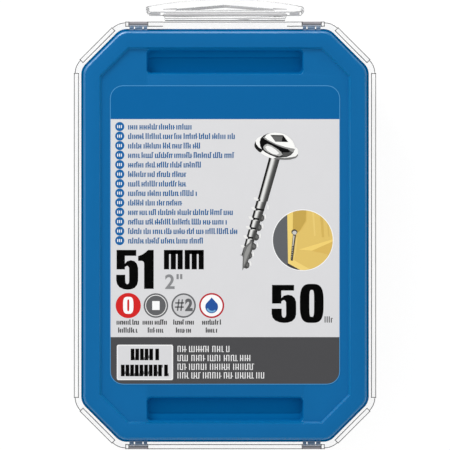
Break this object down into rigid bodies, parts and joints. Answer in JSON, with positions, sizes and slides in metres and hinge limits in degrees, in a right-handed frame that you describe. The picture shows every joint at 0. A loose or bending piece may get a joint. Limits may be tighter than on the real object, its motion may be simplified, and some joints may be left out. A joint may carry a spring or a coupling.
{
  "type": "screw box",
  "caption": "Flat octagonal screw box: clear tray with a slotted fold-back hang tab and a clip-on hinged blue lid with a label, filled with washer-head wood screws.",
  "frame": {"origin": "middle of the overall box's underside, where the tray rests", "axes": "+X to the right and +Y towards the hang tab as the label is seen, +Z out of the label, away from the tray's floor"},
  "size_m": [0.102, 0.152, 0.032],
  "materials": {
    "clear_plastic": "clear, colourless, glossy moulded plastic",
    "blue_plastic": "opaque mid-blue moulded plastic, satin",
    "label_film": "printed film, semi-gloss, in fields of blue, light grey and dark grey",
    "zinc_steel": "bright zinc plating"
  },
  "bodies": {
    "tray": {"tray": "clear_plastic", "screws_lower_far": "zinc_steel", "screws_lower_near": "zinc_steel", "screws_upper_far": "zinc_steel", "screws_upper_near": "zinc_steel"},
    "lid": {"lid": "blue_plastic", "label": "label_film"},
    "hang_tab": {"hang_tab": "clear_plastic"}
  },
  "joints": [
    {"name": "lid_hinge", "type": "hinge", "parent": "tray", "child": "lid", "pos_m": [0, -0.07517, 0.0269], "axis": [1, 0, 0], "range_deg": [0, 120]},
    {"name": "tab_fold", "type": "hinge", "parent": "tray", "child": "hang_tab", "pos_m": [0, 0.06903, 0.0228], "axis": [1, 0, 0], "range_deg": [-20, 70]}
  ]
}
